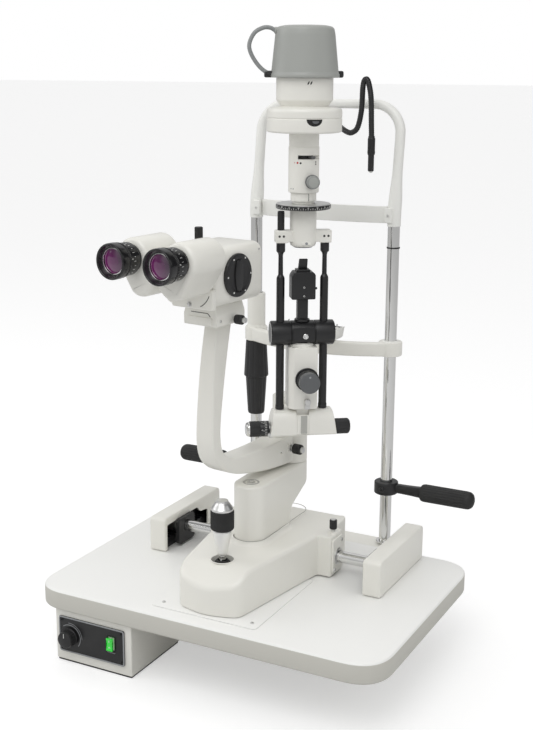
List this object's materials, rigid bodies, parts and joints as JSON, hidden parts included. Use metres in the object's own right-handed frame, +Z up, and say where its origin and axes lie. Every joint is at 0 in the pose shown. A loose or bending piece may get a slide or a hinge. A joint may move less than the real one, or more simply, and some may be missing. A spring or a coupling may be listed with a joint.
{
  "type": "slit lamp",
  "caption": "Table-top slit lamp: binocular microscope and lit slit tower on a joystick base with rails, and a chin and brow rest at the back edge of the board.",
  "frame": {"origin": "middle of the board's underside, where the lifting table carries it", "axes": "+Z up, +X to the operator's right, the operator sits at -Y and the patient at +Y"},
  "size_m": [0.51, 0.4664, 0.8422],
  "materials": {
    "laminate": "satin",
    "white_enamel": "satin",
    "white_plastic": "satin",
    "black_plastic": "satin",
    "black_metal": "satin",
    "grey_plastic": "satin",
    "chrome": "polished",
    "bulb_glass": "gloss",
    "green_lens": "gloss",
    "transformer_steel": "satin"
  },
  "bodies": {
    "root": {"table_top": "laminate", "power_box": "white_enamel", "power_panel": "black_plastic", "transformer": "transformer_steel", "rail_cover_left": "white_enamel", "rail_cover_right": "white_enamel", "rack_left": "black_metal", "rack_right": "black_metal", "head_post_left": "chrome", "head_post_right": "chrome", "post_bracket": "white_enamel", "hand_bar_left": "black_plastic", "hand_bar_right": "black_plastic", "head_frame": "white_enamel", "forehead_band": "white_enamel"},
    "brightness_knob": {"brightness_knob": "black_plastic"},
    "power_switch": {"power_switch": "green_lens"},
    "axle_carriage": {"axle_shield_left": "black_plastic", "axle_shield_right": "black_plastic"},
    "axle": {"axle": "chrome"},
    "base": {"base_housing": "white_enamel", "elevating_shaft": "chrome"},
    "base_lock": {"base_lock_knob": "black_plastic"},
    "joystick_gimbal": {"joystick_gimbal": "chrome"},
    "joystick": {"joystick_lever": "white_plastic"},
    "joystick_grip": {"joystick_grip": "chrome"},
    "lift": {"column": "white_enamel", "swing_spindle": "chrome"},
    "microscope": {"microscope_arm": "white_enamel", "microscope_mount": "white_enamel", "microscope_body": "white_enamel"},
    "arm_lock": {"arm_lock_knob": "black_plastic"},
    "mount_clamp": {"mount_clamp_knob": "black_plastic"},
    "magnification": {"magnification_drum": "black_plastic"},
    "prism_left": {"prism_housing_left": "white_enamel"},
    "prism_right": {"prism_housing_right": "white_enamel"},
    "eyepiece_left": {"eyepiece_left": "black_plastic"},
    "eyepiece_right": {"eyepiece_right": "black_plastic"},
    "illumination": {"illumination_arm": "white_enamel"},
    "slit_width": {"slit_width_control": "black_plastic"},
    "tower": {"tilt_body": "white_enamel", "guide_rod_left": "black_metal", "guide_rod_right": "black_metal", "cross_cylinder": "black_metal", "mirror_holder": "black_metal", "slit_barrel": "white_enamel", "filter_barrel": "white_enamel", "lamp_housing": "white_enamel", "lamp_cap": "grey_plastic", "lamp_bulb": "bulb_glass", "lamp_cable": "grey_plastic"},
    "tilt_latch": {"tilt_latch": "chrome"},
    "centring": {"centring_knob": "grey_plastic"},
    "slit_rotation": {"slit_rotation_ring": "black_metal"},
    "filter": {"filter_lever": "black_plastic"},
    "aperture": {"aperture_knob": "grey_plastic"},
    "chin_rest": {"chin_bar": "white_enamel", "chin_cup": "white_plastic"},
    "chin_grip": {"chin_height_grip": "black_plastic"},
    "fixation": {"fixation_light": "black_metal"}
  },
  "joints": [
    {"name": "carriage_slide", "type": "slide", "parent": "root", "child": "axle_carriage", "axis": [0, 1, 0], "range_m": [-0.018, 0.03]},
    {"name": "axle_spin", "type": "hinge", "parent": "axle_carriage", "child": "axle", "pos_m": [0, 0.055, 0.055], "axis": [1, 0, 0], "range_deg": [-150, 200]},
    {"name": "base_slide", "type": "slide", "parent": "axle_carriage", "child": "base", "axis": [1, 0, 0], "range_m": [-0.045, 0.045]},
    {"name": "base_lock_turn", "type": "hinge", "parent": "base", "child": "base_lock", "pos_m": [0.0895, 0.055, 0.088], "axis": [0, 0, 1], "range_deg": [0, 180]},
    {"name": "joystick_tilt_forward", "type": "hinge", "parent": "base", "child": "joystick_gimbal", "pos_m": [0, -0.0975, 0.076], "axis": [1, 0, 0], "range_deg": [-12, 12]},
    {"name": "joystick_tilt_side", "type": "hinge", "parent": "joystick_gimbal", "child": "joystick", "pos_m": [0, -0.0975, 0.076], "axis": [0, 1, 0], "range_deg": [-12, 12]},
    {"name": "column_lift", "type": "slide", "parent": "base", "child": "lift", "axis": [0, 0, 1], "range_m": [0, 0.03]},
    {"name": "joystick_turn", "type": "hinge", "parent": "joystick", "child": "joystick_grip", "pos_m": [0, -0.0975, 0.076], "axis": [0, 0, 1], "range_deg": [-5, 545]},
    {"name": "microscope_swing", "type": "hinge", "parent": "lift", "child": "microscope", "pos_m": [0, 0.097, 0.188], "axis": [0, 0, 1], "range_deg": [-83, 97]},
    {"name": "illumination_swing", "type": "hinge", "parent": "lift", "child": "illumination", "pos_m": [0, 0.097, 0.188], "axis": [0, 0, -1], "range_deg": [-50, 116]},
    {"name": "arm_lock_turn", "type": "hinge", "parent": "microscope", "child": "arm_lock", "pos_m": [0.01412, 0.07008, 0.196], "axis": [0.9925, -0.1219, 0], "range_deg": [0, 270]},
    {"name": "mount_clamp_turn", "type": "hinge", "parent": "microscope", "child": "mount_clamp", "pos_m": [0.00514, -0.07692, 0.4065], "axis": [0.9925, -0.1219, 0], "range_deg": [0, 270]},
    {"name": "magnification_turn", "type": "hinge", "parent": "microscope", "child": "magnification", "pos_m": [-0.0223, -0.08464, 0.465], "axis": [0.9925, -0.1219, 0], "continuous": true},
    {"name": "prism_right_turn", "type": "hinge", "parent": "microscope", "child": "prism_right", "pos_m": [0.02382, 0.09408, 0.468], "axis": [0.1219, 0.9925, 0], "range_deg": [-15, 4]},
    {"name": "prism_left_turn", "type": "hinge", "parent": "microscope", "child": "prism_left", "pos_m": [-0.02382, 0.09992, 0.468], "axis": [0.1219, 0.9925, 0], "range_deg": [-4, 15]},
    {"name": "eyepiece_right_focus", "type": "hinge", "parent": "prism_right", "child": "eyepiece_right", "pos_m": [-0.00133, -0.20509, 0.493], "axis": [-0.1219, -0.9925, 0], "range_deg": [-120, 120]},
    {"name": "eyepiece_left_focus", "type": "hinge", "parent": "prism_left", "child": "eyepiece_left", "pos_m": [-0.0718, -0.19644, 0.493], "axis": [-0.1219, -0.9925, 0], "range_deg": [-120, 120]},
    {"name": "tower_tilt", "type": "hinge", "parent": "illumination", "child": "tower", "pos_m": [0.05173, 0.02581, 0.243], "axis": [0.809, 0.5878, 0], "range_deg": [0, 20]},
    {"name": "slit_width_turn", "type": "hinge", "parent": "illumination", "child": "slit_width", "pos_m": [0.05173, 0.02581, 0.243], "axis": [0.809, 0.5878, 0], "range_deg": [-150, 150]},
    {"name": "tilt_latch_turn", "type": "hinge", "parent": "tower", "child": "tilt_latch", "pos_m": [0.06348, 0.00963, 0.2752], "axis": [0.809, 0.5878, 0], "range_deg": [0, 25]},
    {"name": "centring_turn", "type": "hinge", "parent": "tower", "child": "centring", "pos_m": [0.06612, 0.01365, 0.314], "axis": [0.5878, -0.809, 0], "range_deg": [0, 360]},
    {"name": "slit_rotation_turn", "type": "hinge", "parent": "tower", "child": "slit_rotation", "pos_m": [0.05173, 0.02581, 0.54], "axis": [0, 0, 1], "range_deg": [-90, 90]},
    {"name": "filter_turn", "type": "hinge", "parent": "tower", "child": "filter", "pos_m": [0.05173, 0.02581, 0.604], "axis": [0, 0, 1], "range_deg": [-33, 28]},
    {"name": "aperture_turn", "type": "hinge", "parent": "tower", "child": "aperture", "pos_m": [0.06695, 0.01251, 0.5735], "axis": [0.5878, -0.809, 0], "range_deg": [-150, 150]},
    {"name": "chin_rest_slide", "type": "slide", "parent": "root", "child": "chin_rest", "axis": [0, 0, 1], "range_m": [0, 0.055]},
    {"name": "chin_grip_turn", "type": "hinge", "parent": "root", "child": "chin_grip", "pos_m": [-0.109, 0.199, 0.258], "axis": [0, 0, 1], "range_deg": [-5, 905]},
    {"name": "fixation_swing", "type": "hinge", "parent": "root", "child": "fixation", "pos_m": [0.004, 0.21862, 0.648], "axis": [0, 0, 1], "range_deg": [-35, 12]},
    {"name": "brightness_turn", "type": "hinge", "parent": "root", "child": "brightness_knob", "pos_m": [-0.1975, -0.1711, -0.038], "axis": [0, -1, 0], "range_deg": [0, 270]},
    {"name": "power_switch_rock", "type": "hinge", "parent": "root", "child": "power_switch", "pos_m": [-0.13, -0.1716, -0.032], "axis": [1, 0, 0], "range_deg": [-8, 8]}
  ],
  "couplings": [
    {"joint": "axle_spin", "follows": "carriage_slide", "rad_per_m": -85.47},
    {"joint": "joystick_turn", "follows": "column_lift", "rad_per_m": 314.16},
    {"joint": "prism_left_turn", "follows": "prism_right_turn", "ratio": -1},
    {"joint": "chin_grip_turn", "follows": "chin_rest_slide", "rad_per_m": 285.6}
  ]
}
